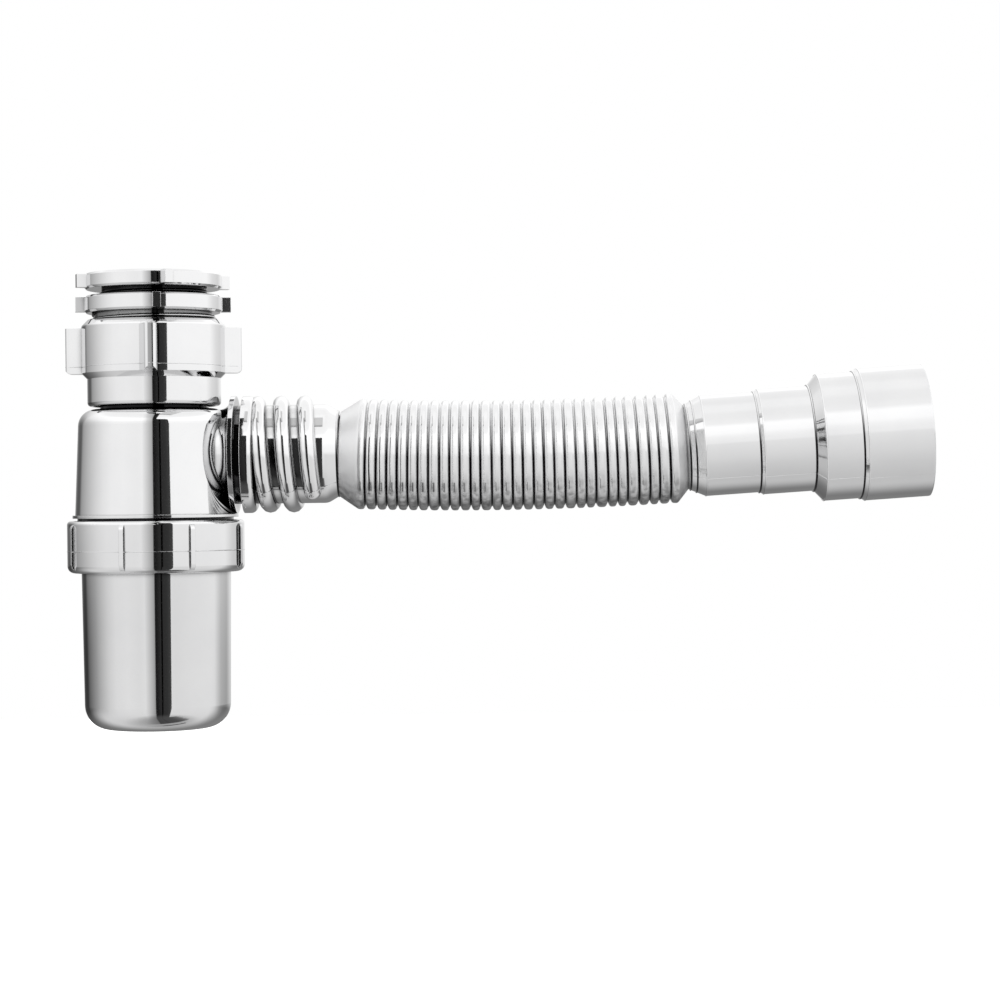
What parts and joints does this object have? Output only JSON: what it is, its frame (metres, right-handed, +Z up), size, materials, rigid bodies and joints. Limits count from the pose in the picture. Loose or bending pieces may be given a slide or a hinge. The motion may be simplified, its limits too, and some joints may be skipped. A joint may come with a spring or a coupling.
{
  "type": "flexible bottle trap",
  "caption": "Chromed bottle trap for a wash basin: winged inlet nut with thread reducers, unscrewing cup, and a flexible bellows tube with a stepped end.",
  "frame": {"origin": "centre of the small reducer's mouth, where the basin waste screws in", "axes": "+Z up along the inlet axis, +X towards the flexible outlet tube"},
  "size_m": [0.3274, 0.0672, 0.1721],
  "materials": {
    "chromed_body": "mirror-bright chrome plating on plastic",
    "chromed_tube": "mirror-bright metallised flexible plastic",
    "washer_rubber": "moulded rubber",
    "inner_plastic": "natural moulded plastic"
  },
  "bodies": {
    "trap": {"trap_body": "chromed_body", "dip_tube": "inner_plastic", "inlet_washer": "washer_rubber"},
    "nut": {"inlet_nut": "chromed_body"},
    "middle_ring": {"middle_washer": "washer_rubber"},
    "large_reducer": {"large_reducer": "chromed_body"},
    "waste_ring": {"waste_washer": "washer_rubber"},
    "small_reducer": {"small_reducer": "chromed_body"},
    "cup": {"cup": "chromed_body", "cup_seal": "washer_rubber"},
    "cup_nut": {"cup_nut": "chromed_body"},
    "outlet_ring": {"outlet_washer": "washer_rubber"},
    "cuff": {"tube_cuff": "chromed_tube"},
    "bellows": {"tube_bellows": "chromed_tube"},
    "tail": {"tube_tail": "chromed_tube"}
  },
  "joints": [
    {"name": "inlet_nut_spin", "type": "hinge", "parent": "trap", "child": "nut", "pos_m": [0, 0, -0.0337], "axis": [0, 0, 1], "continuous": true},
    {"name": "large_reducer_lift", "type": "slide", "parent": "nut", "child": "middle_ring", "axis": [0, 0, 1], "range_m": [0, 0.0116]},
    {"name": "large_reducer_turn", "type": "hinge", "parent": "middle_ring", "child": "large_reducer", "pos_m": [0, 0, -0.02], "axis": [0, 0, 1], "range_deg": [0, 1800]},
    {"name": "small_reducer_lift", "type": "slide", "parent": "large_reducer", "child": "waste_ring", "axis": [0, 0, 1], "range_m": [0, 0.0116]},
    {"name": "small_reducer_turn", "type": "hinge", "parent": "waste_ring", "child": "small_reducer", "pos_m": [0, 0, -0.015], "axis": [0, 0, 1], "range_deg": [0, 1800]},
    {"name": "cup_drop", "type": "slide", "parent": "trap", "child": "cup", "axis": [0, 0, -1], "range_m": [0, 0.0112]},
    {"name": "cup_nut_turn", "type": "hinge", "parent": "cup", "child": "cup_nut", "pos_m": [0, 0, -0.103], "axis": [0, 0, -1], "range_deg": [0, 990]},
    {"name": "tube_back_off", "type": "slide", "parent": "trap", "child": "outlet_ring", "axis": [1, 0, 0], "range_m": [0, 0.0202]},
    {"name": "tube_turn", "type": "hinge", "parent": "outlet_ring", "child": "cuff", "pos_m": [0.05, 0, -0.0689], "axis": [1, 0, 0], "range_deg": [0, 810]},
    {"name": "tube_bend", "type": "hinge", "parent": "cuff", "child": "bellows", "pos_m": [0.10308, 0, -0.07001], "axis": [0, -1, 0], "range_deg": [-45, 45], "deforming": ["tube_bellows"]},
    {"name": "tube_stretch", "type": "slide", "parent": "bellows", "child": "tail", "axis": [0.9982, 0, 0.0593], "range_m": [0, 0.06], "deforming": ["tube_bellows"]}
  ],
  "couplings": [
    {"joint": "large_reducer_lift", "follows": "large_reducer_turn", "m_per_rad": 0.00036749},
    {"joint": "small_reducer_lift", "follows": "small_reducer_turn", "m_per_rad": 0.00036749},
    {"joint": "cup_drop", "follows": "cup_nut_turn", "m_per_rad": 0.00063662},
    {"joint": "tube_back_off", "follows": "tube_turn", "m_per_rad": 0.0014213}
  ]
}
